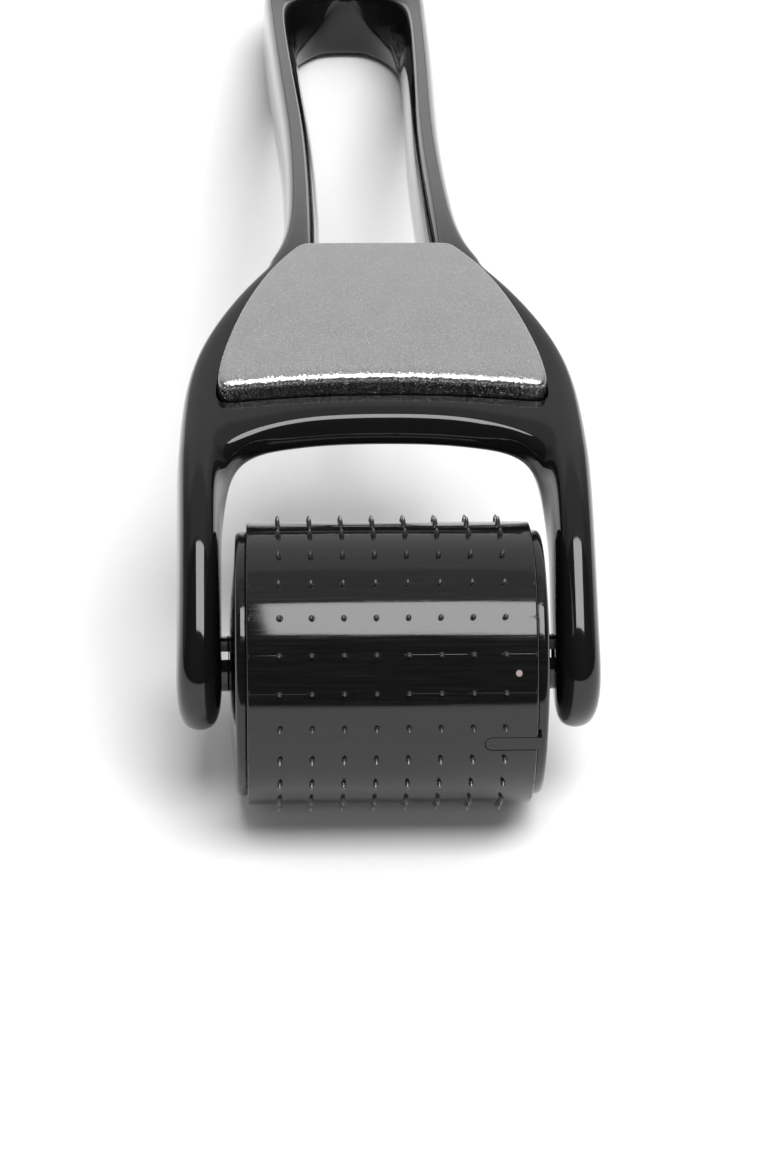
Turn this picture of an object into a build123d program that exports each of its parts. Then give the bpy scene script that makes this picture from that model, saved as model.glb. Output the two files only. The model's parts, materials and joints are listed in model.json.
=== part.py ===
"""Derma roller: a needled drum between the arms of a long open-loop handle, at real size in millimetres.

X runs along the drum's axis, +Y from the drum to the tail of the handle, +Z up from the table.
The origin is the middle of the bounding box's bottom face, so the part lies on Z = 0 as it lies on a table.
"""

import os
from math import cos, radians, sin

from build123d import *

# Overall sizes
overall_length = 142.0
handle_width = 30.0
handle_depth = 8.0
crest_height = 25.4

# Drum
drum_diameter = 20.0
drum_length = 20.0
sleeve_wall = 1.6
needle_rows = 24
needles_per_row = 8
needle_diameter = 0.33
needle_proud = 0.54
needle_point = 0.34
needle_hole_clearance = 0.01
glue_gap = 0.03

# End caps and stub axles
cap_diameter = 18.8
cap_rim = 0.8
cap_dome = 0.45
cap_spigot = 1.5
cap_pin_length = 5.0
stub_diameter = 3.9
stub_reach = 2.0
stub_slot = 0.56
stub_slot_offset = 0.56
stub_slot_tilt = 34.7
running_fit = 0.05
side_play = 0.35

# Tongue of the right end cap, let into the sleeve
tongue_length = 3.6
tongue_width = 1.0
tongue_gap = 0.05
gate_mark = 0.45

# Handle
boss_radius = 4.65
rail_width = 2.6
tail_web = 11.0
outer_round = 1.6
slot_round = 0.9
window_round = 1.3
bar_thickness = 2.7
bar_gap = 2.35
window_corner = 4.5
shoulder_length = 20.35
pocket_wall = 1.8
pocket_roof = 1.6
rib_thickness = 1.4

# Face plate
plate_front_width = 24.0
plate_back_width = 11.2
plate_length = 16.7
plate_thickness = 2.3
plate_proud = 1.5
plate_gap = 0.15
plate_edge_round = 0.8
plate_corner = 1.3
pad_thickness = 0.3
post_diameter = 2.0
post_gap = 0.1

# Sizes that follow
row_step = 360 / needle_rows
drum_radius = drum_diameter / 2
tip_radius = drum_radius + needle_proud
front_reach = tip_radius * cos(radians(row_step / 2))
axle_z = front_reach
axle_y = front_reach - overall_length / 2
sleeve_bore = drum_radius - sleeve_wall
core_radius = sleeve_bore - glue_gap
cap_face = drum_length / 2 + cap_rim + cap_dome
arm_inner = cap_face + side_play
arm_outer = handle_width / 2
bore_radius = stub_diameter / 2 + running_fit
stub_end = arm_inner + stub_reach
needle_pitch = drum_length / (needles_per_row + 1)
recess_depth = plate_thickness - plate_proud + pad_thickness
pin_bore = stub_diameter / 2
height_ratio = crest_height / 25.4
width_ratio = handle_width / 30.0


def at(back, up):
    """A point of the side view, measured from the drum's axis."""
    return (axle_y + back, axle_z + up)


def height(back_up):
    """Scales the rise of the handle above the axis with the crest height."""
    return [(back, up * height_ratio) for back, up in back_up]


def plan(points):
    """Points of the top view: distance from the middle, distance behind the axis."""
    return [(half * width_ratio, axle_y + back) for half, back in points]


def around_x(shape):
    """Turns something built along Z so that it lies along X."""
    return Rot(0, 90, 0) * shape


# ---------------------------------------------------------------- the handle

tail = overall_length - front_reach
top_line = height([(3.6, 9.15), (9.0, 11.3), (15.2, 12.6), (20.0, 13.45), (26.0, 14.5), (32.0, 14.9)])
top_line += height([(38.0, 14.4), (47.0, 12.9)])
top_line += [(tail * 0.53, 8.2 * height_ratio), (tail * 0.76, 1.8), (tail * 0.92, -2.2)]


def lower(point, by=handle_depth):
    """The underside lies a handle depth below the top line."""
    return (point[0] + 0.4, point[1] - by)


top_angle = 136
low_angle = -44
boss_top = (boss_radius * cos(radians(top_angle)), boss_radius * sin(radians(top_angle)))
boss_low = (boss_radius * cos(radians(low_angle)), boss_radius * sin(radians(low_angle)))
top_slope = (sin(radians(top_angle)), -cos(radians(top_angle)))
low_slope = (-sin(radians(low_angle)), cos(radians(low_angle)))
tail_top = (tail - 3.6, -3.2)
tail_low = (tail - 3.6, -axle_z)
rest_start = tail - 14.0
low_line = [lower(point) for point in top_line[1:-1]]


def top_curve(lift=0.0):
    """The handle's top line from the boss to the tail, moved up by lift."""
    points = [boss_top, *top_line, tail_top]
    spots = [at(back, up + lift) for back, up in points]
    return Spline(*spots, tangents=[top_slope, (1, -0.2)], tangent_scalars=[1, 1])


def side_view():
    """Closed side outline of the handle: boss, arm, swan neck and tail."""
    end = Spline(
        at(*tail_top),
        at(tail, (tail_top[1] + tail_low[1]) / 2),
        at(*tail_low),
        tangents=[(1, -0.2), (-1, 0)],
    )
    rest = Line(at(*tail_low), at(rest_start, -axle_z))
    low = Spline(
        at(rest_start, -axle_z),
        *[at(*point) for point in reversed(low_line)],
        at(*boss_low),
        tangents=[(-1, 0), (-low_slope[0], -low_slope[1])],
        tangent_scalars=[1, 1],
    )
    boss = ThreePointArc(at(*boss_low), at(-boss_radius, 0), at(*boss_top))
    return make_face(Plane.YZ * (Curve() + [top_curve(), end, rest, low, boss]))


def side_extrusion(face):
    """A side view carried right across the handle."""
    return Pos(-60, 0, 0) * extrude(face, amount=120, dir=(1, 0, 0))


def below_top(depth, floor=-60):
    """Everything more than a depth below the handle's top line, over its whole length."""
    edge = top_curve(-depth)
    first = edge @ 0
    last = edge @ 1
    under = Polyline(last, (last.X, floor), (first.X, floor), first)
    return side_extrusion(make_face(Plane.YZ * (Curve() + [edge, under])))


outer_plan = plan([(15, 9), (14.9, 15), (13.9, 21.5), (11.6, 27.0), (9.0, 31.5), (7.2, 35.5)])
outer_plan += plan([(6.35, 42), (6.15, 50)])
tail_half = 8.0 * width_ratio
outer_tail = [(6.5 * width_ratio, axle_y + tail * 0.5), (7.4 * width_ratio, axle_y + tail * 0.7)]
outer_tail += [(tail_half, axle_y + tail - tail_half * 1.3)]
slot_start = bar_gap + tip_radius + shoulder_length
slot_plan = plan([(4.05, slot_start + 0.8), (4.05, slot_start + 3), (3.75, 47), (3.7, 58)])
slot_plan += [(half - rail_width, y) for half, y in outer_tail[:-1]]
slot_plan += [(tail_half - rail_width - 0.2, axle_y + tail - tail_web - 5.5)]


def mirrored_face(curves):
    """Closes half an outline drawn at +X with its mirror image."""
    half = Curve() + curves
    other = mirror(half, Plane.YZ)
    return make_face(half + other)


def round_end(half, y, length):
    """Quarter ellipse that ends the loop at the tail."""
    return EllipticalCenterArc((0, y), half, length, start_angle=0, arc_size=90)


def plan_view():
    """Outline of the handle seen from above, without its openings."""
    front = axle_y - boss_radius - 2
    nose = Line((0, front), (arm_outer, front))
    side = Line((arm_outer, front), outer_plan[0])
    shoulder = Spline(*outer_plan, *outer_tail, tangents=[(0, 1), (0, 1)])
    end = round_end(tail_half, outer_tail[-1][1], tail_half * 1.3)
    return mirrored_face([nose, side, shoulder, end])


def slot_view():
    """Outline of the open loop between the two rails."""
    corner = 0.8
    first = slot_plan[0]
    front = Line((0, first[1] - corner), (first[0] - corner, first[1] - corner))
    turn = RadiusArc(front @ 1, first, -corner)
    side = Spline(*slot_plan, tangents=[(0, 1), (0, 1)])
    last = slot_plan[-1]
    end = round_end(last[0], last[1], last[0] * 1.1)
    return mirrored_face([front, turn, side, end])


def window_view(back, corner):
    """Outline of the fork window, arched at its back, open at the front."""
    front = axle_y - boss_radius - 4
    deep = axle_y + back
    side = Line((arm_inner, front), (arm_inner, deep - 1.4 - corner))
    turn = Spline(
        side @ 1,
        (arm_inner - corner, deep - 1.1),
        tangents=[(0, 1), (-1, 0.16)],
    )
    arch = Spline(turn @ 1, (0, deep), tangents=[(-1, 0.16), (-1, 0)])
    sill = Line((0, front), (arm_inner, front))
    return mirrored_face([sill, side, turn, arch])


def through(face):
    """A top view carried right through the handle."""
    return Pos(0, 0, -80) * extrude(face, amount=200, dir=(0, 0, 1))


def rim_edges(shape, face):
    """The edges of a shape that follow a top-view outline, without the upright ones."""
    outline = face.edges()
    found = []
    for edge in shape.edges():
        size = edge.bounding_box().size
        if size.X < 0.01 and size.Y < 0.01:
            continue
        spots = [edge.position_at(share) for share in (0.2, 0.5, 0.8)]
        gaps = [min(line.distance_to(Vertex(p.X, p.Y, 0)) for line in outline) for p in spots]
        if max(gaps) < 0.02:
            found.append(edge)
    return found


def inset_plan(front, back, rim):
    """A closed outline that stays a rim inside the shoulder between two distances."""
    rows = plan([(half - rim, y) for half, y in [(13.95, 21), (11.7, 26.5), (9.6, 30.2)]])
    rows = [point for point in rows if point[1] < axle_y + back - 1.0]
    last = (rows[-1][0] - 1.1, axle_y + back)
    side = Spline((arm_inner, axle_y + front), *rows, last, tangents=[(0, 1), (-0.5, 1)])
    first = Line((0, axle_y + front), (arm_inner, axle_y + front))
    rear = Line(last, (0, axle_y + back))
    return mirrored_face([first, side, rear])


window_back = tip_radius + bar_gap
plate_front = window_back + 3.15
plate_back = plate_front + plate_length
plate_posts = [(-6.4, plate_front + 5.3), (6.4, plate_front + 5.3), (0, plate_front + 12.6)]


def plate_view(grow=0.0):
    """Outline of the face plate: arched front, waisted sides, straight back, rounded corners."""
    front_half = plate_front_width / 2 + grow
    back_half = plate_back_width / 2 + grow
    middle = (front_half + back_half) / 2
    start = axle_y + plate_front - grow
    end = axle_y + plate_back + grow
    length = end - start
    arch = ThreePointArc((-front_half, start - 1.0), (0, start), (front_half, start - 1.0))
    side = Spline(
        (front_half, start - 1.0),
        (front_half - 0.5, start + length * 0.25),
        (middle + 1.1, start + length * 0.52),
        (middle - 0.8, start + length * 0.75),
        (back_half, end),
    )
    rear = Line((back_half, end), (-back_half, end))
    outline = make_face(Curve() + [arch, side, mirror(side, Plane.YZ), rear])
    return fillet(outline.vertices(), plate_corner + grow)


def boss_bore(side):
    """Blind bore in one arm for a stub axle."""
    depth = arm_outer - arm_inner - 1.2
    middle = side * (arm_inner + depth / 2)
    return Pos(middle, axle_y, axle_z) * around_x(Cylinder(bore_radius, depth))


def build_frame():
    """Fork, shoulder and rails: one moulding, cored out under the shoulder."""
    body = side_extrusion(side_view()) & through(plan_view())
    body = fillet(body.edges(), outer_round)
    slot = slot_view()
    body = body - through(slot)
    body = fillet(rim_edges(body, slot), slot_round)
    window = window_view(window_back, window_corner)
    body = body - through(window)
    body = fillet(rim_edges(body, window), window_round)
    scoop = window_view(window_back + bar_thickness, window_corner)
    body = body - (through(scoop) & below_top(bar_thickness))
    core_front = window_back + bar_thickness - 2.0
    core_back = slot_start - pocket_wall
    core = inset_plan(core_front, core_back, pocket_wall + 1.2)
    core_top = recess_depth + pocket_roof
    body = body - (through(core) & below_top(core_top))
    rib_length = core_back - core_front - bar_thickness
    rib_middle = axle_y + core_back - rib_length / 2 + 0.5
    rib = Pos(0, rib_middle, 0) * Box(rib_thickness, rib_length + 1, 80)
    rib = rib & below_top(core_top - 0.1) - below_top(core_top + 2.4)
    posts = [Pos(x, axle_y + back, 0) * Cylinder(post_diameter / 2 + 0.9, 80) for x, back in plate_posts]
    collar = Part() + [post & (below_top(core_top - 0.1) - below_top(core_top + 0.8)) for post in posts]
    body = body + rib + collar
    recess = through(plate_view(plate_gap)) - below_top(recess_depth)
    body = body - recess
    for x, back in plate_posts:
        body = body - Pos(x, axle_y + back, 0) * Cylinder(post_diameter / 2 + post_gap, 80)
    for side in (-1, 1):
        body = body - boss_bore(side)
    return body


def build_plate():
    """Face plate with three posts that are staked under the shoulder's roof."""
    top = plate_proud
    bottom = plate_thickness - plate_proud
    plate = through(plate_view()) & (below_top(-top) - below_top(bottom))
    top_face = plate.faces().sort_by(Axis.Z)[-1]
    plate = fillet(top_face.edges(), plate_edge_round)
    reach = recess_depth + pocket_roof + 0.8
    for x, back in plate_posts:
        post = Pos(x, axle_y + back, 0) * Cylinder(post_diameter / 2, 80)
        plate = plate + (post & (below_top(bottom - 0.4) - below_top(reach + 0.5)))
    return plate


def build_pad():
    """Adhesive pad between the plate and the floor of its recess."""
    bottom = plate_thickness - plate_proud
    pad = through(plate_view(-0.8)) & (below_top(bottom) - below_top(recess_depth))
    for x, back in plate_posts:
        pad = pad - Pos(x, axle_y + back, 0) * Cylinder(post_diameter / 2 + 0.3, 80)
    return pad


# ---------------------------------------------------------------- the drum


def on_axle(shape):
    """Moves a shape built about the origin to the drum's axis."""
    return Pos(0, axle_y, axle_z) * shape


def row_angle(index):
    """Angle of a needle row about the axis, from straight down, towards the front."""
    return row_step * (index + 0.5)


def pin():
    """One needle along +Z: a plain ground wire with a conical point."""
    radius = needle_diameter / 2
    foot = core_radius
    shoulder = tip_radius - needle_point
    wire = Pos(0, 0, (foot + shoulder) / 2) * Cylinder(radius, shoulder - foot)
    point = Pos(0, 0, shoulder + needle_point / 2) * Cone(radius, 0.01, needle_point)
    return wire + point


def row_spots():
    """Distances along the axis of the needles in a row."""
    first = -needle_pitch * (needles_per_row - 1) / 2
    return [first + needle_pitch * index for index in range(needles_per_row)]


def pointed(angle, x, shape):
    """Turns a shape that stands along +Z to an angle from straight down, and moves it along the axis."""
    return Pos(x, 0, 0) * Rot(180 - angle, 0, 0) * shape


def tongue_shape(grow=0.0):
    """Tongue of the right cap, rounded at its inner end, pointing straight to the front."""
    half = tongue_width / 2 + grow
    start = drum_length / 2 - tongue_length - grow
    strip = Pos((start + half + drum_length / 2 + 0.3) / 2, 0, 0) * Box(
        drum_length / 2 + 0.3 - start - half, 40, half * 2
    )
    nose = Pos(start + half, 0, 0) * Rot(90, 0, 0) * Cylinder(half, 40)
    front = Pos(0, -20, 0) * Box(60, 40, 40)
    ring = around_x(Cylinder(drum_radius, 60)) - around_x(Cylinder(core_radius + 0.25 - grow, 60))
    return (strip + nose) & front & ring


def build_sleeve():
    """Outer tube of the drum with a hole for each needle."""
    tube = around_x(Cylinder(drum_radius, drum_length)) - around_x(Cylinder(sleeve_bore, drum_length + 2))
    tube = chamfer(tube.edges().filter_by(GeomType.CIRCLE).sort_by(lambda e: e.radius)[-2:], 0.12)
    hole = Pos(0, 0, drum_radius) * Cylinder(needle_diameter / 2 + needle_hole_clearance, sleeve_wall * 4)
    angles = [row_angle(index) for index in range(needle_rows)]
    holes = [pointed(angle, x, hole) for angle in angles for x in row_spots()]
    tube = tube - holes
    tube = tube - tongue_shape(tongue_gap)
    mark = pointed(
        row_step * 8,
        row_spots()[-1] + needle_pitch * 0.39,
        Pos(0, 0, drum_radius) * Cylinder(gate_mark / 2, 0.16),
    )
    return tube - mark


def build_core():
    """Ribbed hub that the needles seat on and the caps plug into."""
    length = drum_length - 2 * (cap_spigot + 0.1)
    rim = around_x(Cylinder(core_radius, length)) - around_x(Cylinder(core_radius - 1.2, length + 2))
    hub = around_x(Cylinder(pin_bore + 1.3, length)) - around_x(Cylinder(pin_bore, length + 2))
    rib = Pos(0, 0, (core_radius + pin_bore) / 2 + 0.3) * Box(length, 1.1, core_radius - pin_bore - 1.4)
    ribs = [Rot(60 * index, 0, 0) * rib for index in range(6)]
    return rim + hub + ribs


def build_cap(side):
    """End cap with a domed face, a spigot, an inner pin and a split stub axle."""
    radius = cap_diameter / 2
    face = drum_length / 2
    edge = 0.4
    stub = stub_diameter / 2
    points = [
        (0, face - cap_pin_length),
        (pin_bore - 0.02, face - cap_pin_length),
        (pin_bore - 0.02, face - cap_spigot + 0.3),
        (core_radius - 1.4, face - cap_spigot + 0.3),
        (core_radius - 1.4, face - cap_spigot),
        (core_radius, face - cap_spigot),
        (core_radius, face),
        (radius, face),
        (radius, face + cap_rim - edge),
    ]
    shell = Polyline(*points)
    bend = RadiusArc(points[-1], (radius - edge, face + cap_rim), -edge)
    dome = Spline(
        (radius - edge, face + cap_rim),
        (stub + 0.25, cap_face),
        tangents=[(-1, 0.02), (-1, 0.06)],
    )
    root = Polyline((stub + 0.25, cap_face), (stub, cap_face), (stub, stub_end - 0.3), (stub - 0.3, stub_end))
    close = Polyline((stub - 0.3, stub_end), (0, stub_end), (0, face - cap_pin_length))
    flat = make_face(Curve() + [shell, bend, dome, root, close])
    cap = revolve(flat, Axis.Y)
    cap = Rot(0, 0, -90) * cap
    slot = Box(stub_end - cap_face + 0.1, 20, stub_slot)
    slot = Pos((stub_end + cap_face) / 2 + 0.1, 0, stub_slot_offset) * slot
    if side < 0:
        cap = mirror(cap, Plane.YZ)
        slot = mirror(slot, Plane.YZ)
    return cap - Rot(-stub_slot_tilt, 0, 0) * slot


os.makedirs("parts", exist_ok=True)


def save(name, shape):
    """Writes one node and states its size."""
    export_step(shape, "parts/" + name + ".step")
    print(name, len(shape.solids()), round(shape.volume, 2))


save("handle_frame", build_frame())
save("face_plate", build_plate())
save("plate_pad", build_pad())
save("needle_sleeve", on_axle(build_sleeve()))
save("roller_core", on_axle(build_core()))
save("left_end_cap", on_axle(build_cap(-1)))
save("right_end_cap", on_axle(build_cap(1) + tongue_shape()))
wire = pin()
for index in range(needle_rows):
    row = [pointed(row_angle(index), x, wire) for x in row_spots()]
    save("needle_row_%02d" % (index + 1), on_axle(Compound(children=row)))
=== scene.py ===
import json
import math

import bmesh
import bpy
from mathutils import Matrix, Vector


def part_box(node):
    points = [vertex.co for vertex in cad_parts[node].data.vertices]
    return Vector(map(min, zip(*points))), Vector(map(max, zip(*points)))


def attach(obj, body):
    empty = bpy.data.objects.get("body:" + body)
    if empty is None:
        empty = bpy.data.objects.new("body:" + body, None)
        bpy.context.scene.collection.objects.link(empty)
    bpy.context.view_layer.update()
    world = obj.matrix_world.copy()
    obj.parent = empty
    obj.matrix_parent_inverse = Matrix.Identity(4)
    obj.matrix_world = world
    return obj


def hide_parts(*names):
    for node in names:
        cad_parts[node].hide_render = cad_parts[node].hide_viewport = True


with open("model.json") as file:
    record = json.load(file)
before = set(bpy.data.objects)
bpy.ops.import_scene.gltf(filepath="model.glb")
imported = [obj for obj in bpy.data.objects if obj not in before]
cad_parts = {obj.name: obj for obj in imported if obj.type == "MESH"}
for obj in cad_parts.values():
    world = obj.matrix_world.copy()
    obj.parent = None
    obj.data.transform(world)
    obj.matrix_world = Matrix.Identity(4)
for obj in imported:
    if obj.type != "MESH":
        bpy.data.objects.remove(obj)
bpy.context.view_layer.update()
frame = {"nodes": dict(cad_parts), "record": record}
print("frame loaded")

mm = 0.001
spinJoint = frame["record"]["behaviour"]["joints"][0]
capLow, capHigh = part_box("left_end_cap")[0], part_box("right_end_cap")[1]
axle = Vector(((capLow[0] + capHigh[0]) / 2, spinJoint["pos_m"][1], spinJoint["pos_m"][2]))


# small tools for modelling by hand

def objectMode():
    if bpy.context.object and bpy.context.object.mode != "OBJECT":
        bpy.ops.object.mode_set(mode="OBJECT")


def onlyThis(piece):
    objectMode()
    bpy.ops.object.select_all(action="DESELECT")
    piece.select_set(True)
    bpy.context.view_layer.objects.active = piece


def startEdit(piece, kind="VERT"):
    onlyThis(piece)
    bpy.ops.object.mode_set(mode="EDIT")
    bpy.ops.mesh.select_mode(type=kind)
    bpy.ops.mesh.select_all(action="DESELECT")
    return bmesh.from_edit_mesh(piece.data)


def pick(piece, kind, test):
    # selects the vertices, edges or faces that pass a test, and nothing else
    bpy.ops.mesh.select_mode(type=kind)
    bpy.ops.mesh.select_all(action="DESELECT")
    cage = bmesh.from_edit_mesh(piece.data)
    things = {"VERT": cage.verts, "EDGE": cage.edges, "FACE": cage.faces}[kind]
    for thing in things:
        if test(thing):
            thing.select_set(True)
    cage.select_flush_mode()
    bmesh.update_edit_mesh(piece.data)
    return cage


def openCage(piece):
    # nothing selected, every vertex ready to be pulled
    return pick(piece, "VERT", lambda vertex: False)


def moveVertex(vertex, place):
    # one vertex at a time, the way a cage is pulled into shape
    step = Vector(place) - vertex.co
    if step.length < 1e-9:
        return
    vertex.select_set(True)
    bpy.ops.transform.translate(value=step)
    vertex.select_set(False)


def openHalf(piece):
    # takes off the faces at the middle, where the mirrored half joins on
    pick(piece, "FACE", lambda face: abs(face.calc_center_median().x + 1) < 1e-5)
    bpy.ops.mesh.delete(type="ONLY_FACE")


def mirrorHalf(piece):
    # the other half, without the loose edges left at the middle
    objectMode()
    modify(piece, "MIRROR", use_axis=(True, False, False), use_clip=True, merge_threshold=1e-6)
    startEdit(piece, "EDGE")
    pick(piece, "EDGE", lambda edge: edge.is_wire)
    bpy.ops.mesh.delete(type="EDGE")
    closeUp(piece)


def settle(piece, name):
    onlyThis(piece)
    bpy.ops.object.transform_apply(location=True, rotation=True, scale=True)
    piece.name = name
    piece.data.name = name


def closeUp(piece, merge=1e-6):
    # doubles merged, faces turned outwards
    startEdit(piece)
    bpy.ops.mesh.select_all(action="SELECT")
    bpy.ops.mesh.remove_doubles(threshold=merge)
    bpy.ops.mesh.normals_make_consistent(inside=False)
    objectMode()


def modify(piece, kind, **settings):
    onlyThis(piece)
    step = piece.modifiers.new(kind, kind)
    for key, value in settings.items():
        setattr(step, key, value)
    bpy.ops.object.modifier_apply(modifier=step.name)


def carve(piece, cutter, operation="DIFFERENCE"):
    modify(piece, "BOOLEAN", object=cutter, operation=operation, solver="EXACT")
    bpy.data.objects.remove(cutter)


def smooth(piece, angle=40):
    onlyThis(piece)
    bpy.ops.object.shade_smooth_by_angle(angle=math.radians(angle))


def heightOn(points, back):
    # smooth line through points given as (distance behind the axle, height)
    for index in range(len(points) - 1):
        if back <= points[index + 1][0] or index == len(points) - 2:
            break
    (y0, z0), (y1, z1) = points[index], points[index + 1]

    def slopeAt(i):
        low, high = max(i - 1, 0), min(i + 1, len(points) - 1)
        return (points[high][1] - points[low][1]) / (points[high][0] - points[low][0])

    width = y1 - y0
    t = (back - y0) / width
    m0, m1 = slopeAt(index) * width, slopeAt(index + 1) * width
    return ((2 * t**3 - 3 * t**2 + 1) * z0 + (t**3 - 2 * t**2 + t) * m0
            + (3 * t**2 - 2 * t**3) * z1 + (t**3 - t**2) * m1)


# side lines of the handle, millimetres from the drum's axis

sideLines = {
    "top": [(-3.34, 3.23), (-2.2, 4.4), (-1.0, 5.6), (0.2, 6.67), (1.4, 7.66), (2.6, 8.54), (3.6, 9.14),
            (5.0, 9.88), (6.5, 10.5), (9.0, 11.3), (12.0, 12.0), (15.2, 12.6), (20.0, 13.45), (26.0, 14.5),
            (32.0, 14.9), (38.0, 14.4), (47.0, 12.9), (55.0, 11.3), (69.7, 8.2), (85.0, 4.98), (100.0, 1.8),
            (110.0, -0.32), (121.0, -2.2), (128.0, -3.2), (130.6, -4.4), (131.5, -6.4)],
    "low": [(3.34, -3.23), (4.5, -1.9), (6.0, 0.07), (7.5, 1.82), (9.4, 3.3), (12.0, 4.14), (15.6, 4.6),
            (20.4, 5.45), (26.4, 6.5), (32.4, 6.9), (38.4, 6.4), (47.4, 4.9), (55.0, 3.35), (70.0, 0.22),
            (80.0, -1.56), (90.0, -3.48), (100.0, -6.08), (105.0, -7.76), (110.0, -9.33), (114.0, -10.1),
            (117.5, -10.36), (122.0, -10.4), (128.0, -10.36), (130.6, -9.3), (131.5, -7.2)],
}


def topAt(back):
    return heightOn(sideLines["top"], back)


def lowAt(back):
    return heightOn(sideLines["low"], back)


def inPlace(across, back, up):
    # millimetres from the middle of the fork and the drum's axis, as a point in the scene
    return Vector((across * mm, axle.y + back * mm, axle.z + up * mm))


# the handle: fork, cross bar, shoulder and the two rails

handle = {
    # distance back, then how far each line of the cage is from the middle; None where it is open
    "rows": [
        (-4.8, None, None, None, None, 11.7, 12.7, 14.0, 15.04),
        (-2.0, None, None, None, None, 11.7, 12.7, 14.0, 15.04),
        (1.4, None, None, None, None, 11.7, 12.7, 14.0, 15.04),
        (4.3, None, None, None, None, 11.72, 12.7, 14.0, 15.04),
        (7.0, None, None, None, None, 11.75, 12.7, 14.0, 15.04),
        (13.1, 0.0, 3.7, 6.9, 9.95, 11.6, 12.7, 14.0, 15.04),
        (14.1, 0.0, 3.6, 6.7, 9.7, 11.7, 12.7, 13.9, 15.0),
        (17.6, 0.0, 3.7, 6.8, 9.8, 11.3, 12.3, 13.65, 14.75),
        (21.5, 0.0, 3.9, 6.6, 9.2, 10.8, 11.7, 12.9, 13.95),
        (25.0, 0.0, 4.0, 6.2, 8.3, 9.5, 10.3, 11.5, 12.5),
        (28.5, 0.0, 4.0, 5.6, 6.9, 7.8, 8.6, 9.8, 10.8),
        (31.0, 0.0, 4.0, 4.9, 5.8, 6.6, 7.4, 8.4, 9.3),
        (32.2, 0.0, 3.8, 4.9, 5.6, 6.2, 6.9, 7.8, 8.65),
        (33.3, 0.0, 4.1, 5.1, 5.6, 6.15, 6.75, 7.6, 8.45),
        (36.0, None, 4.1, 5.15, 5.5, 5.85, 6.25, 6.75, 7.6),
        (41.0, None, 4.0, 5.05, 5.3, 5.55, 5.8, 6.2, 6.98),
        (47.0, None, 3.9, 4.95, 5.2, 5.4, 5.65, 6.05, 6.78),
        (58.0, None, 3.85, 4.9, 5.15, 5.4, 5.65, 6.0, 6.7),
        (72.0, None, 4.0, 5.05, 5.3, 5.55, 5.8, 6.15, 6.9),
        (88.0, None, 4.55, 5.6, 5.85, 6.1, 6.35, 6.7, 7.4),
        (103.0, None, 4.95, 6.0, 6.25, 6.5, 6.75, 7.1, 7.8),
        (112.0, None, 5.1, 6.15, 6.4, 6.65, 6.9, 7.25, 7.98),
        (117.0, None, 4.8, 5.85, 6.2, 6.55, 6.9, 7.3, 8.05),
        (120.0, None, 3.3, 4.5, 5.3, 5.9, 6.5, 7.2, 8.08),
        (121.1, 0.0, 1.9, 3.4, 4.6, 5.5, 6.3, 7.1, 8.06),
        (122.3, 0.0, 1.8, 3.2, 4.4, 5.3, 6.15, 7.0, 7.98),
        (126.2, 0.0, 1.7, 3.0, 4.1, 5.05, 5.85, 6.6, 7.5),
        (129.3, 0.0, 1.5, 2.75, 3.75, 4.65, 5.4, 6.1, 6.85),
        (131.62, 0.0, 1.25, 2.35, 3.25, 4.05, 4.8, 5.45, 6.0),
    ],
    "tipTop": [1.95, 4.8, 7.8],  # heights of the rows round the tip of an arm
    "tipLow": [-1.95, -4.85, -4.85],
    "noseLean": 0.55,
    "noseCorner": 1.5,
    "lipCorner": 1.3,
    # how far the rows at the cross bar bend forward, line by line
    "noseBack": [0.0, 0.1, 0.55, 1.75, 3.5, 3.3, 3.0, 2.8],
    "lipBack": [0.0, 0.08, 0.45, 1.35, 2.0, 2.0, 1.9, 1.8],
    "tailShare": [0.22, 0.5, 1.0],
    "tailLength": 10.4,
    "tailHalf": 8.0,
    "barDepth": 2.8,
    "roofDepth": 2.75,
    "roundArm": 1.02,
    "roundRail": 0.78,
    "roundSlot": 1.35,
    "roundNose": 0.62,
    "boreRadius": 2.0,
    "boreEnd": 13.6,
    "boreLength": 4.0,
}
noseRow = 5  # rows of the cage with a job: front of the cross bar
lipRow = 6  # lower lip behind it
pocketEnd = 11  # last row of the hollow under the shoulder
slotStart = 13  # the open loop begins
slotEnd = 24  # and ends
tipRows = 3  # rows that go round the tip of an arm


def cageBack(row, column):
    # rows bend forward beside the cross bar and round the tail
    rows = handle["rows"]
    back, across = rows[row][0], rows[row][column + 1]
    if row == noseRow:
        return back - handle["noseBack"][column]
    if row == lipRow:
        return back - handle["lipBack"][column]
    if row >= len(rows) - 3:
        share = handle["tailShare"][row - len(rows)]
        turn = 1 - math.sqrt(1 - (across / handle["tailHalf"]) ** 2)
        return back - share * handle["tailLength"] * turn
    return back


def sideOutline():
    # closed outline of the side view, one point per row on top and one below
    rows = handle["rows"]
    top, low = [], []
    for row, line in enumerate(rows):
        back = line[0]
        top.append((back, handle["tipTop"][row] if row < tipRows else topAt(back)))
        low.append((back, handle["tipLow"][row] if row < tipRows else lowAt(back)))
    return top, low


def inwards(points, index):
    before, after = points[index - 1], points[(index + 1) % len(points)]
    along = Vector((after[0] - before[0], after[1] - before[1])).normalized()
    return Vector((along.y, -along.x))


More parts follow.
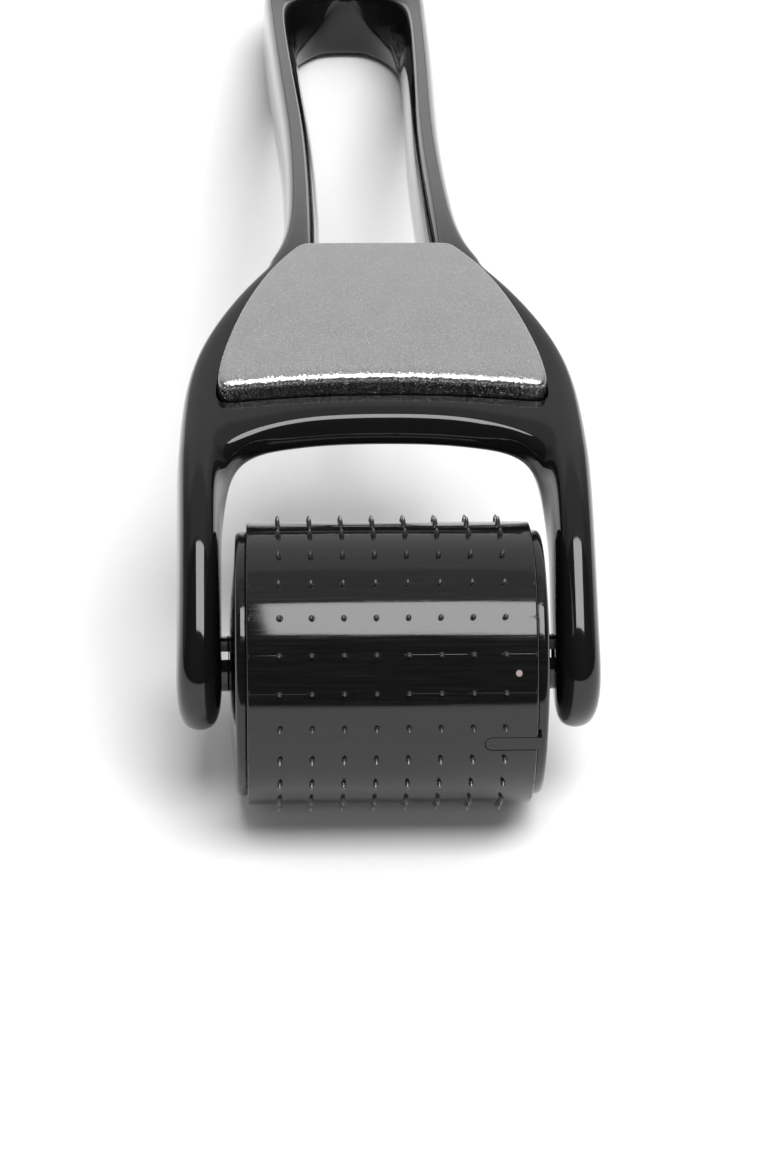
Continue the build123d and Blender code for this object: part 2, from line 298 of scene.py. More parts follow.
def handlePlace(ring, row, column, under):
    # where one vertex of the cage goes; outer and inner edges are let in to round them
    rows = handle["rows"]
    last, lines = len(rows) - 1, len(rows[0]) - 2
    across, back = rows[row][column + 1], cageBack(row, column)
    place = len(ring) - 1 - row if under else row
    up = ring[place][1]
    if row > tipRows:
        up = lowAt(back) if under else topAt(back)
    nose = row == noseRow and column <= 3
    if nose and not under:
        back += handle["noseLean"]
    if under and lipRow <= row <= pocketEnd and column <= 3:
        depth = handle["barDepth"] if row == lipRow else handle["roofDepth"]
        up = topAt(back) - depth
    if under and row == lipRow and column == 3:
        across += handle["lipCorner"]
    if nose:
        depth = handle["barDepth"] - handle["roundNose"] if under else handle["roundNose"]
        up = topAt(back) - depth
    if nose and under and column == 3:
        across += handle["noseCorner"]
    spot = Vector((back, up))
    edgeOfArm = column == 4 and row <= noseRow
    edgeOfSlot = column == 1 and slotStart <= row <= slotEnd
    endOfSlot = column == 0 and row in (slotStart, slotEnd)
    if column == lines or edgeOfArm or edgeOfSlot or endOfSlot:
        size = handle["roundRail"] if row >= slotStart else handle["roundArm"]
        if edgeOfSlot and not under:
            size = handle["roundSlot"]
        toward = inwards(ring, place)
        if endOfSlot or row == last:
            toward = Vector((0, 1 if under else -1))
        spot += toward * size
    elif row == last:
        spot.y += handle["roundRail"] if under else -handle["roundRail"]
    return inPlace(across, spot.x, spot.y)


def makeHandle():
    rows = handle["rows"]
    last, lines = len(rows) - 1, len(rows[0]) - 2
    bpy.ops.mesh.primitive_grid_add(x_subdivisions=lines, y_subdivisions=last, size=2)
    piece = bpy.context.object
    startEdit(piece, "FACE")

    def isOpen(face):
        middle = face.calc_center_median()
        column, row = int((middle.x + 1) / 2 * lines), int((middle.y + 1) / 2 * last)
        return rows[row][column + 1] is None or rows[row + 1][column + 1] is None
    pick(piece, "FACE", isOpen)
    bpy.ops.mesh.delete(type="FACE")
    bpy.ops.mesh.select_all(action="SELECT")
    bpy.ops.mesh.extrude_region_move(TRANSFORM_OT_translate={"value": (0, 0, -1)})
    bpy.ops.mesh.select_all(action="SELECT")
    bpy.ops.mesh.normals_make_consistent(inside=False)
    openHalf(piece)

    top, low = sideOutline()
    ring = top + low[::-1]  # round the whole outline, then back below
    cage = openCage(piece)
    places = []
    for vertex in cage.verts:
        column = round((vertex.co.x + 1) / 2 * lines)
        row = round((vertex.co.y + 1) / 2 * last)
        places.append(handlePlace(ring, row, column, vertex.co.z < -0.5))
    for vertex, place in zip(list(cage.verts), places):
        moveVertex(vertex, place)
    mirrorHalf(piece)
    modify(piece, "SUBSURF", levels=3, render_levels=3)
    return piece


handleBody = makeHandle()
settle(handleBody, "handleBody")
print("handle cage", len(handleBody.data.polygons))


# the face plate and the recess it sits in

facePlate = {
    # distance back and half width of each row, then the columns as shares of the half width
    "rows": [(16.06, 12.0), (17.4, 12.0), (19.8, 11.62), (24.7, 10.05), (29.0, 8.1), (31.5, 6.5),
             (32.8, 5.65)],
    "columns": [0.0, 0.45, 0.82, 1.0],
    "frontArch": 1.0,
    "archRows": 3,
    "top": 1.5,
    "bottom": -0.8,
    "round": 0.85,
    "crown": 0.02,
    "gap": 0.2,
    "recessBottom": -1.1,
    "recessTop": 3.0,
    "recessRound": 0.6,
    "postRadius": 1.0,
    "postLength": 4.4,
    "postRound": 0.25,
    "posts": [(-6.4, 21.34), (6.4, 21.34), (0.0, 28.64)],
}


def plateBlank(grow, low, high, edge):
    rows, columns = facePlate["rows"], facePlate["columns"]
    bpy.ops.object.select_all(action="DESELECT")
    bpy.ops.mesh.primitive_grid_add(x_subdivisions=len(columns) - 1, y_subdivisions=len(rows) - 1, size=2)
    piece = bpy.context.object
    startEdit(piece)
    bpy.ops.mesh.select_all(action="SELECT")
    heights = [low, (low + high) / 2, high - edge, high]
    for _ in heights[1:]:
        bpy.ops.mesh.extrude_region_move(TRANSFORM_OT_translate={"value": (0, 0, 1)})
    bpy.ops.mesh.select_all(action="SELECT")
    bpy.ops.mesh.normals_make_consistent(inside=False)
    openHalf(piece)
    cage = openCage(piece)
    places = []
    for vertex in cage.verts:
        column = round((vertex.co.x + 1) / 2 * (len(columns) - 1))
        row = round((vertex.co.y + 1) / 2 * (len(rows) - 1))
        layer = round(vertex.co.z)
        back, half = rows[row]
        across = columns[column] * (half + grow)
        if row == 0:
            back -= grow
        if row == len(rows) - 1:
            back += grow
        share = max(0.0, 1 - row / facePlate["archRows"])
        back -= (across / rows[0][1]) ** 2 * facePlate["frontArch"] * share
        crown = facePlate["crown"] * (1 - columns[column] ** 2) if layer >= 2 else 0
        places.append(inPlace(across, back, topAt(back) + heights[layer] + crown))
    for vertex, place in zip(list(cage.verts), places):
        moveVertex(vertex, place)
    mirrorHalf(piece)
    return piece


plate = plateBlank(0.0, facePlate["bottom"], facePlate["top"], facePlate["round"])
modify(plate, "SUBSURF", levels=3, render_levels=3)
cutter = plateBlank(facePlate["gap"], facePlate["recessBottom"], facePlate["recessTop"],
                    facePlate["recessRound"])
modify(cutter, "SUBSURF", levels=2, render_levels=2)
carve(handleBody, cutter)


def makePost(across, back):
    length = facePlate["postLength"]
    bpy.ops.mesh.primitive_cylinder_add(vertices=32, radius=facePlate["postRadius"] * mm, depth=length * mm,
                                        location=inPlace(across, back, topAt(back) - length / 2))
    post = bpy.context.object
    bpy.ops.object.mode_set(mode="EDIT")
    pick(post, "FACE", lambda face: face.normal.z < -0.9)
    bpy.ops.mesh.bevel(offset=facePlate["postRound"] * mm, segments=3)
    objectMode()
    settle(post, "post")
    return post


def makeBore(side):
    middle = side * (handle["boreEnd"] - handle["boreLength"] / 2)
    bpy.ops.mesh.primitive_cylinder_add(vertices=48, radius=handle["boreRadius"] * mm,
                                        depth=handle["boreLength"] * mm, rotation=(0, math.pi / 2, 0),
                                        location=inPlace(middle, 0, 0))
    bore = bpy.context.object
    settle(bore, "bore")
    return bore


for across, back in facePlate["posts"]:
    carve(plate, makePost(across, back), "UNION")
for side in (-1, 1):
    carve(handleBody, makeBore(side))
settle(plate, "facePlate")
smooth(plate, 50)
smooth(handleBody, 38)
print("plate", len(plate.data.polygons), "handle", len(handleBody.data.polygons))


# rings: turned shapes built ring by ring along the drum's axis

pinhole = 1e-5  # smallest radius of a ring, millimetres


def turned(steps, sides=128):
    # steps are (distance along the axis, radius) in millimetres
    bpy.ops.object.select_all(action="DESELECT")
    start, radius = steps[0]
    bpy.ops.mesh.primitive_circle_add(vertices=sides, radius=radius * mm, rotation=(0, math.pi / 2, 0),
                                      location=(start * mm, 0, 0))
    piece = bpy.context.object
    bpy.ops.object.transform_apply(location=True, rotation=True, scale=True)
    startEdit(piece)
    bpy.ops.mesh.select_all(action="SELECT")
    for along, nextRadius in steps[1:]:
        ratio = max(nextRadius, pinhole) / radius
        bpy.ops.mesh.extrude_region_move(TRANSFORM_OT_translate={"value": ((along - start) * mm, 0, 0)})
        bpy.ops.transform.resize(value=(1, ratio, ratio), center_override=(along * mm, 0, 0))
        start, radius = along, max(nextRadius, pinhole)
    objectMode()
    return piece


def bridgeEnds(piece):
    # joins the two open rings into a closed tube
    startEdit(piece, "EDGE")
    pick(piece, "EDGE", lambda line: line.is_boundary)
    bpy.ops.mesh.bridge_edge_loops()
    objectMode()
    closeUp(piece)


def arcSteps(along, radius, bend, first, last, count):
    # points round a small edge, angles in degrees from the axis direction
    points = []
    for index in range(count + 1):
        angle = math.radians(first + (last - first) * index / count)
        points.append((along + bend * math.cos(angle), radius + bend * math.sin(angle)))
    return points


drum = {
    "length": 20.0,
    "radius": 10.0,
    "bore": 8.4,
    "edge": 0.14,
    "rows": 24,
    "perRow": 8,
    "needleRadius": 0.165,
    "needleTip": 10.54,
    "needleFoot": 8.37,
    "pointLength": 0.36,
    "pointSteps": [(0.12, 0.86), (0.1, 0.62), (0.08, 0.34), (0.06, 0.05)],  # length, width left
    "tongueLength": 3.6,
    "tongueHalf": 0.5,
    "tongueGap": 0.06,
    "tongueOver": 0.3,
    "tongueLow": 8.72,
    "tongueHigh": 9.985,
    "sides": 240,
}
capSizes = {
    "radius": 9.4,
    "rim": 0.8,
    "edge": 0.4,
    "dome": 0.45,
    "stub": 1.95,
    "stubEnd": 13.6,
    "slot": 0.56,
    "slotShift": 0.56,
    "slotTilt": 34.7,
    "slotLength": 3.1,
    "spigot": 1.5,
    "spigotRadius": 8.32,
    "backEdge": 0.12,
    "hole": 1e-3,
}


def toAxle(piece, name):
    piece.location = piece.location + axle
    settle(piece, name)


def makeSleeve():
    half, radius, edge = drum["length"] / 2, drum["radius"], drum["edge"]
    steps = arcSteps(-half + edge, radius - edge, edge, 180, 90, 3)
    steps += arcSteps(half - edge, radius - edge, edge, 90, 0, 3)
    steps += [(half, drum["bore"]), (-half, drum["bore"])]
    piece = turned(steps, drum["sides"])
    bridgeEnds(piece)
    return piece


def tongueBlank(grow, over):
    # a bar with one round end, pointing straight to the front
    half = drum["tongueHalf"] + grow
    start = drum["length"] / 2 - drum["tongueLength"] - grow + half
    end = drum["length"] / 2 + over
    bpy.ops.mesh.primitive_cylinder_add(vertices=32, radius=half * mm, depth=2.4 * mm,
                                        rotation=(math.pi / 2, 0, 0), location=(start * mm, -9.6 * mm, 0))
    piece = bpy.context.object
    bpy.ops.object.transform_apply(location=True, rotation=True, scale=True)
    bpy.ops.object.mode_set(mode="EDIT")
    pick(piece, "VERT", lambda vertex: vertex.co.x > (start + 1e-3) * mm)
    bpy.ops.transform.resize(value=(0.0001, 1, 1), center_override=(start * mm, 0, 0))
    bpy.ops.transform.translate(value=((end - start) * mm, 0, 0))
    objectMode()
    closeUp(piece)
    return piece


def tongueInRing():
    # the tongue keeps to a ring inside the sleeve's wall
    low, high = drum["tongueLow"], drum["tongueHigh"]
    start, end = drum["length"] / 4, drum["length"] / 2 + drum["tongueOver"]
    ring = turned([(start, low), (start, high), (end, high), (end, low)], drum["sides"])
    bridgeEnds(ring)
    blank = tongueBlank(0, drum["tongueOver"])
    carve(blank, ring, "INTERSECT")
    return blank


sleeve = makeSleeve()
carve(sleeve, tongueBlank(drum["tongueGap"], 1.0))
toAxle(sleeve, "needleSleeve")
smooth(sleeve, 35)
print("sleeve", len(sleeve.data.polygons))


def capSteps():
    # profile of a cap from the spigot's inner face to the end of the stub axle
    size = capSizes
    face = drum["length"] / 2
    dome = face + size["rim"] + size["dome"]
    outer, foot, stub, tip = size["radius"] - size["edge"], 0.3, size["stub"], size["stubEnd"]
    steps = [(face - size["spigot"], 0.0), (face - size["spigot"], size["spigotRadius"]),
             (face, size["spigotRadius"])]
    back = size["backEdge"]
    steps += arcSteps(face + back, size["radius"] - back, back, 180, 90, 2)
    steps += arcSteps(face + size["rim"] - size["edge"], outer, size["edge"], 90, 0, 5)
    for share in (0.08, 0.3, 0.55, 0.8, 0.95):
        rise = size["dome"] * math.sin(share * math.pi / 2)
        steps.append((face + size["rim"] + rise, outer + (stub + foot - outer) * share))
    steps += [(dome, stub + foot), (dome + 0.03, stub + 0.08), (dome + 0.12, stub)]
    steps += [(tip - foot, stub), (tip, stub - foot), (tip, 0.0)]
    return [(along, max(radius, size["hole"])) for along, radius in steps]


def makeCap(side):
    size = capSizes
    dome = drum["length"] / 2 + size["rim"] + size["dome"]
    piece = turned(capSteps())
    startEdit(piece, "EDGE")
    pick(piece, "EDGE", lambda line: line.is_boundary)
    bpy.ops.mesh.edge_face_add()
    objectMode()
    closeUp(piece, 1e-7)
    tilt = math.radians(-size["slotTilt"])
    shift = Vector((0, -math.sin(tilt), math.cos(tilt))) * size["slotShift"]
    middle = (Vector((dome + size["slotLength"] / 2 + 0.05, 0, 0)) + shift) * mm
    bpy.ops.mesh.primitive_cube_add(size=1, location=middle, rotation=(tilt, 0, 0),
                                    scale=(size["slotLength"] * mm, 10 * mm, size["slot"] * mm))
    slotCutter = bpy.context.object
    bpy.ops.object.transform_apply(location=True, rotation=True, scale=True)
    carve(piece, slotCutter)
    if side > 0:
        carve(piece, tongueInRing(), "UNION")
    else:
        startEdit(piece)
        bpy.ops.mesh.select_all(action="SELECT")
        bpy.ops.transform.mirror(constraint_axis=(True, False, False), center_override=(0, 0, 0))
        objectMode()
        closeUp(piece, 1e-7)
    return piece


leftCap = makeCap(-1)
toAxle(leftCap, "leftCap")
smooth(leftCap, 32)
rightCap = makeCap(1)
toAxle(rightCap, "rightCap")
smooth(rightCap, 32)
print("caps", len(leftCap.data.polygons), len(rightCap.data.polygons))


def makeNeedle():
    # hangs from the axis, point down
    radius, tip, foot = drum["needleRadius"], drum["needleTip"], drum["needleFoot"]
    body = tip - drum["pointLength"]
    bpy.ops.object.select_all(action="DESELECT")
    bpy.ops.mesh.primitive_cylinder_add(vertices=12, radius=radius * mm, depth=(body - foot) * mm,
                                        location=(0, 0, -(body + foot) / 2 * mm))
    piece = bpy.context.object
    bpy.ops.object.transform_apply(location=True, rotation=True, scale=True)
    bpy.ops.object.mode_set(mode="EDIT")
    pick(piece, "FACE", lambda face: face.normal.z < -0.9)
    width = 1.0
    for depth, nextWidth in drum["pointSteps"]:
        bpy.ops.mesh.extrude_region_move(TRANSFORM_OT_translate={"value": (0, 0, -depth * mm)})
        ratio = nextWidth / width
        bpy.ops.transform.resize(value=(ratio, ratio, 1), center_override=(0, 0, 0))
        width = nextWidth
    objectMode()
    return piece


needle = makeNeedle()
pitch = drum["length"] / (drum["perRow"] + 1)
needlesOfRow = []
for index in range(drum["perRow"]):
    twin = needle.copy()
    twin.data = needle.data.copy()
    bpy.context.collection.objects.link(twin)
    twin.location.x = (index - (drum["perRow"] - 1) / 2) * pitch * mm
    needlesOfRow.append(twin)
bpy.data.objects.remove(needle)
onlyThis(needlesOfRow[0])
for twin in needlesOfRow:
    twin.select_set(True)
bpy.ops.object.join()
firstRow = bpy.context.object
settle(firstRow, "needles")
needleRows = []
for index in range(drum["rows"]):
    row = firstRow.copy()
    row.data = firstRow.data.copy()
    bpy.context.collection.objects.link(row)
    row.rotation_euler.x = -math.radians(360 / drum["rows"] * (index + 0.5))
    row.location = axle
    settle(row, "needles%02d" % (index + 1))
    smooth(row, 40)
    needleRows.append(row)
bpy.data.objects.remove(firstRow)
print("needles", len(needleRows))


# shader nodes written as sums

class Maker:
    # adds nodes to one material and hands their sockets back wrapped
    def __init__(self, name, world=None):
        if world:
            self.tree = world.node_tree
            return
        self.material = bpy.data.materials.new(name)
        self.material.use_nodes = True
        self.tree = self.material.node_tree
        self.shader = self.tree.nodes["Principled BSDF"]

    def feed(self, socket, value):
        if isinstance(value, Wire):
            self.tree.links.new(value.socket, socket)
        elif value is not None:
            socket.default_value = value

    def add(self, kind, settings=None, inputs=None, output=0):
        node = self.tree.nodes.new(kind)
        for key, value in (settings or {}).items():
            setattr(node, key, value)
        for key, value in (inputs or {}).items():
            self.feed(node.inputs[key], value)
        return Wire(self, node.outputs[output])

    def math(self, operation, first, second=None):
        inputs = {0: first}
        if second is not None:
            inputs[1] = second
        return self.add("ShaderNodeMath", {"operation": operation}, inputs)

    def mixColor(self, share, first, second):
        node = self.tree.nodes.new("ShaderNodeMix")
        node.data_type = "RGBA"
        self.feed(node.inputs[0], share)
        self.feed(node.inputs[6], first)
        self.feed(node.inputs[7], second)
        return Wire(self, node.outputs[2])

    def vector(self, operation, first, second=None):
        return self.add("ShaderNodeVectorMath", {"operation": operation}, {0: first, 1: second})

    def scaled(self, wire, factor):
        return self.add("ShaderNodeVectorMath", {"operation": "SCALE"}, {0: wire, 3: factor})

    def away(self, first, second):
        # length of two steps at right angles
        return self.math("SQRT", first * first + second * second)

    def place(self):
        return self.add("ShaderNodeTexCoord", output="Object")

    def split(self, wire):
        node = self.tree.nodes.new("ShaderNodeSeparateXYZ")
        self.feed(node.inputs[0], wire)
        return [Wire(self, socket) for socket in node.outputs]

    def noise(self, where, scale, detail=3.0, roughness=0.55):
        inputs = {"Vector": where, "Scale": scale, "Detail": detail, "Roughness": roughness}
        return self.add("ShaderNodeTexNoise", {}, inputs)

    def cells(self, where, scale, output="Distance"):
        return self.add("ShaderNodeTexVoronoi", {}, {"Vector": where, "Scale": scale}, output)

    def band(self, wire, low, high, outLow=0.0, outHigh=1.0):
        inputs = {"Value": wire, "From Min": low, "From Max": high, "To Min": outLow, "To Max": outHigh}
        return self.add("ShaderNodeMapRange", {"interpolation_type": "SMOOTHSTEP"}, inputs)

    def spot(self, wire, full, none):
        # 1 up to the first distance, fading to 0 at the second
        return self.band(wire, full, none, 1.0, 0.0)

    def bump(self, height, strength, distance):
        return self.add("ShaderNodeBump", {}, {"Height": height, "Strength": strength, "Distance": distance})

    def finish(self, **values):
        for name, value in values.items():
            self.feed(self.shader.inputs[name.replace("_", " ")], value)
        return self.material


class Wire:
    def __init__(self, maker, socket):
        self.maker = maker
        self.socket = socket

    def __add__(self, other):
        return self.maker.math("ADD", self, other)

    def __radd__(self, other):
        return self.maker.math("ADD", other, self)

    def __sub__(self, other):
        return self.maker.math("SUBTRACT", self, other)

    def __rsub__(self, other):
        return self.maker.math("SUBTRACT", other, self)

    def __mul__(self, other):
        return self.maker.math("MULTIPLY", self, other)

    def __rmul__(self, other):
        return self.maker.math("MULTIPLY", other, self)

    def __truediv__(self, other):
        return self.maker.math("DIVIDE", self, other)

    def __rtruediv__(self, other):
        return self.maker.math("DIVIDE", other, self)


def give(piece, material):
    piece.data.materials.clear()
    piece.data.materials.append(material)


# glossy black plastic of the handle

gloss = {
    "color": (0.0062, 0.0058, 0.0056, 1.0),
    "dust": (0.05, 0.047, 0.045, 1.0),
    "dustAmount": 0.12,
    "roughness": 0.035,
    "roughnessSpread": 0.05,
    "peel": 0.00001,
}


def glossBlack():
    make = Maker("black gloss")
    where = make.place()
    cloud = make.noise(where, 90.0, 4.0)
    fine = make.noise(where, 2400.0, 2.0)
    specks = make.band(make.noise(where, 5200.0, 1.0), 0.68, 0.8)
    tone = make.mixColor(specks * gloss["dustAmount"], gloss["color"], gloss["dust"])
    rough = gloss["roughness"] + gloss["roughnessSpread"] * make.band(cloud, 0.4, 0.75) + 0.02 * fine
    peel = make.bump(make.noise(where, 260.0, 2.0), 1.0, gloss["peel"])
    return make.finish(Base_Color=tone, Roughness=rough, Normal=peel, IOR=1.5)


# black plastic of the needle drum

drumLook = {
    "color": (0.0045, 0.0043, 0.0042, 1.0),
    "streakColor": (0.009, 0.0087, 0.0085, 1.0),
    # painted shade: darker colour for the dimple round each needle's foot
    "dimpleShadeColor": (0.004, 0.004, 0.004, 1.0),
    "gateColor": (0.32, 0.26, 0.25, 1.0),
    "gateAt": (8.64, 30.0),  # millimetres from the middle, degrees above the front
    "gateRadius": (0.18, 0.26),
    "dimpleRadius": (0.18, 0.3),
    "seamWidth": (0.01, 0.05),
    "roughness": 0.055,
    "relief": 0.00001,
}


def drumBlack(withHoles):
    # object coordinates are the scene's own, so the axis is taken off first
    make = Maker("drum black" if withHoles else "cap black")
    where = make.vector("SUBTRACT", make.place(), tuple(axle))
    x, y, z = make.split(where)
    angle = make.math("ARCTAN2", y, z)
    wrapped = make.add("ShaderNodeCombineXYZ", {}, {0: x * 40.0, 1: angle * 14.0, 2: 0.0})
    streak = make.noise(wrapped, 4.0, 4.0, 0.6)
    grain = make.noise(where, 3500.0, 2.0)
    tone = make.mixColor(make.band(streak, 0.4, 0.75), drumLook["color"], drumLook["streakColor"])
    rough = drumLook["roughness"] + 0.06 * make.band(streak, 0.4, 0.8) + 0.02 * grain
    height = streak * 0.15 + grain * 0.03
    if not withHoles:
        height = height + make.noise(where, 700.0, 3.0) * 2.0
        relief = make.bump(height, 1.0, drumLook["relief"])
        return make.finish(Base_Color=tone, Roughness=rough, Normal=relief)
    around = 2 * math.pi * drum["radius"] * mm
    turns = (angle / (2 * math.pi) + 1.0) * drum["rows"]
    offRow = make.math("ABSOLUTE", make.math("FRACT", turns) - 0.5) * (around / drum["rows"])
    spot = x / (pitch * mm) + (drum["perRow"] - 1) / 2 + 10.5
    offPin = make.math("ABSOLUTE", make.math("FRACT", spot) - 0.5) * (pitch * mm)
    full, none = drumLook["dimpleRadius"]
    dimple = make.spot(make.away(offRow, offPin), full * mm, none * mm)
    full, none = drumLook["seamWidth"]
    patches = make.band(make.noise(where, 160.0, 1.0), 0.52, 0.6)
    seam = make.spot(offRow, full * mm, none * mm) * patches
    # painted shade: the dimple round each needle's foot is coloured darker
    tone = make.mixColor(dimple * 0.8, tone, drumLook["dimpleShadeColor"])
    gateTurn = -math.radians(90 - drumLook["gateAt"][1])
    gateX = x - drumLook["gateAt"][0] * mm
    gateY = (angle - gateTurn) * (drum["radius"] * mm)
    full, none = drumLook["gateRadius"]
    gate = make.spot(make.away(gateX, gateY), full * mm, none * mm)
    tone = make.mixColor(gate, tone, drumLook["gateColor"])
    rough = rough + dimple * 0.3 + gate * 0.4
    height = height + seam * 0.5 + gate * 1.5 - dimple * 0.6
    relief = make.bump(height, 1.0, drumLook["relief"])
    return make.finish(Base_Color=tone, Roughness=rough, Normal=relief)


# silver paint with fine flakes on the face plate, with painted shade on the faces turned to the side

silver = {
    "color": (0.52, 0.52, 0.525, 1.0),
    "dark": (0.5, 0.5, 0.505, 1.0),
    # painted shade: colour given to faces turned to the side rather than up
    "side": (0.1, 0.1, 0.102, 1.0),
    "flake": (0.8, 0.8, 0.81, 1.0),
    "roughness": 0.2,
    "flakeSize": 0.00007,
    "flakeTilt": 0.34,
}


def silverPaint():
    make = Maker("silver paint")
    where = make.place()
    flakeTone = make.cells(where, 1 / silver["flakeSize"], "Color")
    lottery, tilt = make.split(flakeTone)[:2]
    bright = make.band(lottery, 0.9, 0.98)
    cloud = make.noise(where, 420.0, 3.0)
    tone = make.mixColor(make.band(cloud, 0.3, 0.7), silver["dark"], silver["color"])
    # painted shade: faces that turn away from straight up are coloured with the dark side colour
    upward = make.split(make.add("ShaderNodeNewGeometry", {}, {}, "Normal"))[2]
    tone = make.mixColor(make.band(upward, 0.05, 0.5), silver["side"], tone)
    tone = make.mixColor(bright * 0.5, tone, silver["flake"])
    rough = silver["roughness"] - 0.06 * bright + 0.05 * tilt
    grain = make.noise(where, 0.6 / silver["flakeSize"], 2.0)
    bumped = make.bump(grain, 0.35, 0.00003)
    lean = make.vector("SUBTRACT", flakeTone, (0.5, 0.5, 0.5))
    lean = make.scaled(lean, silver["flakeTilt"])
    leaned = make.vector("NORMALIZE", make.vector("ADD", bumped, lean))
    return make.finish(Base_Color=tone, Roughness=rough, Metallic=0.95, Normal=leaned)


# dark steel needles, the core's plastic and the pad under the plate

needleLook = {
    "color": (0.16, 0.155, 0.15, 1.0),
    "tip": (0.24, 0.235, 0.23, 1.0),
    "roughness": 0.32,
}
coreLook = {"dark": (0.045, 0.04, 0.036, 1.0), "light": (0.08, 0.073, 0.066, 1.0)}
padLook = {"dark": (0.02, 0.02, 0.02, 1.0), "light": (0.09, 0.088, 0.085, 1.0)}


def needleSteel():
    make = Maker("needle steel")
    where = make.vector("SUBTRACT", make.place(), tuple(axle))
    x, y, z = make.split(where)
    reach = make.away(y, z)
    ground = make.band(reach, (drum["needleTip"] - drum["pointLength"]) * mm, drum["needleTip"] * mm)
    scratch = make.noise(where, 16000.0, 2.0)
    tone = make.mixColor(ground * 0.8 + 0.2 * scratch, needleLook["color"], needleLook["tip"])
    rough = needleLook["roughness"] + 0.15 * scratch
    return make.finish(Base_Color=tone, Roughness=rough, Metallic=0.9,
                       Normal=make.bump(scratch, 0.3, 0.00001))


def corePlastic():
    make = Maker("core plastic")
    where = make.place()
    flow = make.noise(where, 500.0, 4.0)
    tone = make.mixColor(flow, coreLook["dark"], coreLook["light"])
    return make.finish(Base_Color=tone, Roughness=0.4 + 0.2 * flow, Normal=make.bump(flow, 0.4, 0.00005))


def padFoam():
    make = Maker("pad foam")
    where = make.place()
    pores = make.cells(where, 5000.0)
    tone = make.mixColor(make.band(pores, 0.2, 0.7), padLook["dark"], padLook["light"])
    return make.finish(Base_Color=tone, Roughness=0.85 - 0.1 * pores, Normal=make.bump(pores, 0.8, 0.00008))


give(handleBody, glossBlack())
give(plate, silverPaint())
give(sleeve, drumBlack(True))
capBlack = drumBlack(False)
give(leftCap, capBlack)
give(rightCap, capBlack)
steel = needleSteel()
for row in needleRows:
    give(row, steel)
print("materials made")

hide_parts("handle_frame")
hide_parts("face_plate")
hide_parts("needle_sleeve")
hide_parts("left_end_cap")
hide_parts("right_end_cap")
for index, row in enumerate(needleRows):
    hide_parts("needle_row_%02d" % (index + 1))

for piece in (handleBody, plate):
    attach(piece, "handle")
for piece in [sleeve, leftCap, rightCap] + needleRows:
    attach(piece, "roller")
give(frame["nodes"]["roller_core"], corePlastic())
give(frame["nodes"]["plate_pad"], padFoam())
print("pieces attached")


# floor, light and camera

stage = {
    "floorTone": 0.93,
    "topFrom": (83, 88),  # degrees from straight ahead of the drum, upwards and over
    "backFrom": (113, 119),
    "sideFrom": (0.45, 0.9),
    "front": 0.05,
    "top": 0.45,
    "back": 0.72,
    "sides": 0.35,
    "softboxPower": 3.4,
    "softboxSize": (0.44, 0.29),
    "softboxFar": 0.6,
    "softboxRight": 7.0,
    "softboxRise": 70.7,
    "fillPower": 1.6,
    "fillAt": (-0.1, -0.75, 0.35),
    "fillSize": (0.9, 0.5),
    "keyPower": 2.4,
    "keySize": (0.62, 0.62),
    "keyAt": (0.3, 0.05, 0.62),
}


def makeFloor():
    bpy.ops.object.select_all(action="DESELECT")
    bpy.ops.mesh.primitive_plane_add(size=6, location=(0, 0, -0.0001))
    piece = bpy.context.object
    piece.name = "floor"
    make = Maker("studio paper")
    fibre = make.noise(make.place(), 900.0, 3.0)
    pale = stage["floorTone"]
    tone = make.mixColor(fibre, (pale - 0.02, pale - 0.02, pale - 0.02, 1), (pale, pale, pale, 1))
    give(piece, make.finish(Base_Color=tone, Roughness=0.9 + 0.05 * fibre))
    return piece


def makeWorld():
    # dark towards the camera, a grey ceiling, a brighter wall behind, dim at the sides
    world = bpy.data.worlds.new("studio")
    world.use_nodes = True
    bpy.context.scene.world = world
    make = Maker("studio", world)
    x, y, z = make.split(make.add("ShaderNodeTexCoord", output="Generated"))
    turnUp = make.math("ARCTAN2", z, 0 - y) * (180 / math.pi)
    overhead = make.band(turnUp, *stage["topFrom"])
    behind = make.band(turnUp, *stage["backFrom"])
    tone = stage["front"] + overhead * (stage["top"] - stage["front"])
    tone = tone + behind * (stage["back"] - stage["top"])
    side = make.band(make.math("ABSOLUTE", x), *stage["sideFrom"])
    tone = tone * (1 - side * (1 - stage["sides"]))
    make.feed(world.node_tree.nodes["Background"].inputs["Color"], tone)


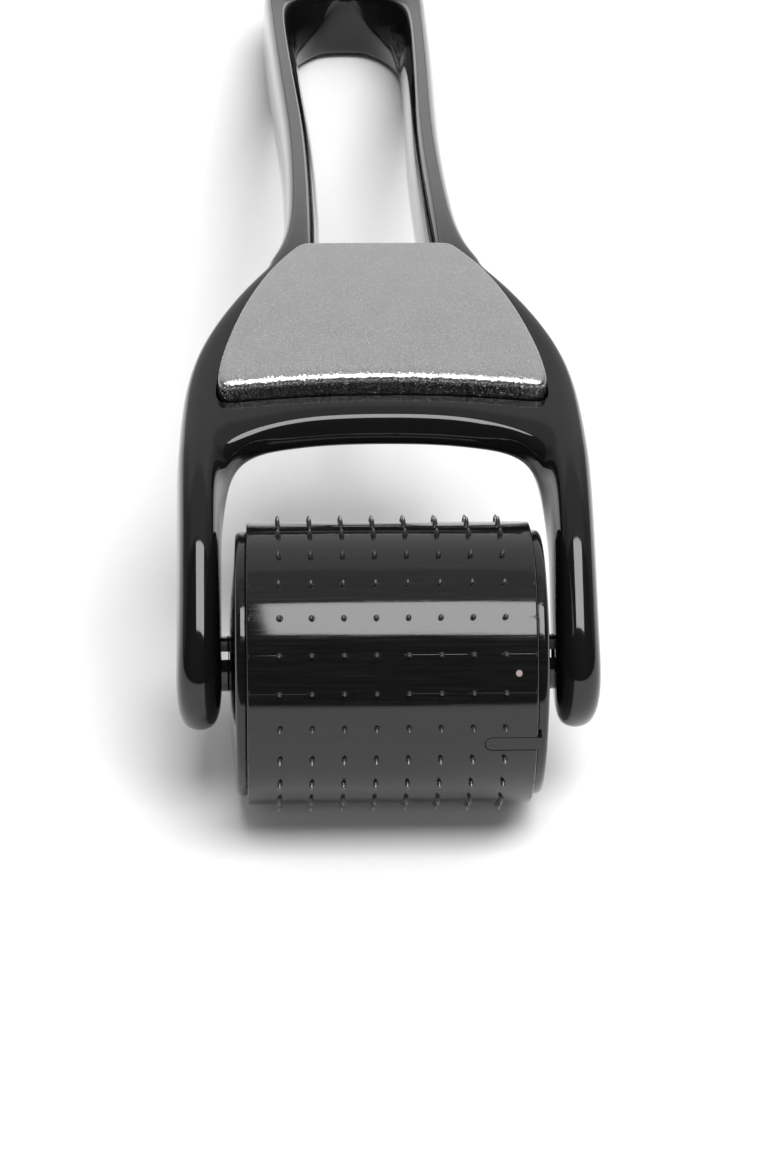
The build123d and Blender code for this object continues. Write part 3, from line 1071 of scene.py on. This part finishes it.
def makeLight(name, place, target, sizes, power):
    light = bpy.data.lights.new(name, "AREA")
    light.shape = "RECTANGLE"
    light.size, light.size_y = sizes
    light.energy = power
    lamp = bpy.data.objects.new(name, light)
    bpy.context.collection.objects.link(lamp)
    # level with the drum: the lamp's own width runs as nearly along X as it can
    back = (Vector(place) - Vector(target)).normalized()
    width = (Vector((1, 0, 0)) - back * back.x).normalized()
    aim = Matrix((width, back.cross(width), back)).transposed()
    lamp.matrix_world = Matrix.Translation(place) @ aim.to_4x4()
    return lamp


floor = makeFloor()
makeWorld()
right, rise = math.radians(stage["softboxRight"]), math.radians(stage["softboxRise"])
toSoftbox = Vector((math.sin(right), -math.cos(right) * math.cos(rise), math.cos(right) * math.sin(rise)))
softboxAt = axle + stage["softboxFar"] * toSoftbox
makeLight("softbox", softboxAt, axle, stage["softboxSize"], stage["softboxPower"])
key = makeLight("key", stage["keyAt"], (0, -0.03, 0), stage["keySize"], stage["keyPower"])
fill = makeLight("fill", stage["fillAt"], (0, -0.05, 0), stage["fillSize"], stage["fillPower"])
for lamp in (key, fill):
    lamp.visible_glossy = False  # it lights the floor and shows in no reflection

view = {
    "offset": (-9.84, -214.0, 148.1),  # millimetres from the middle of the drum
    "yaw": -2.651,
    "pitch": -33.445,
    "roll": -1.065,
    "lens": 112.7,
}


def makeCamera():
    data = bpy.data.cameras.new("camera")
    data.sensor_width = 36
    data.sensor_fit = "AUTO"
    data.lens = view["lens"]
    data.clip_start = 0.01
    camera = bpy.data.objects.new("camera", data)
    bpy.context.collection.objects.link(camera)
    yaw, pitch, roll = (math.radians(view[key]) for key in ("yaw", "pitch", "roll"))
    turn = Matrix.Rotation(yaw, 3, "Z") @ Matrix.Rotation(pitch, 3, "X") @ Matrix.Rotation(roll, 3, "Y")
    aim = Matrix((turn.col[0], turn.col[2], -turn.col[1])).transposed()
    camera.matrix_world = Matrix.Translation(axle + Vector(view["offset"]) * mm) @ aim.to_4x4()
    bpy.context.scene.camera = camera


makeCamera()
bpy.context.scene.view_settings.view_transform = "Standard"
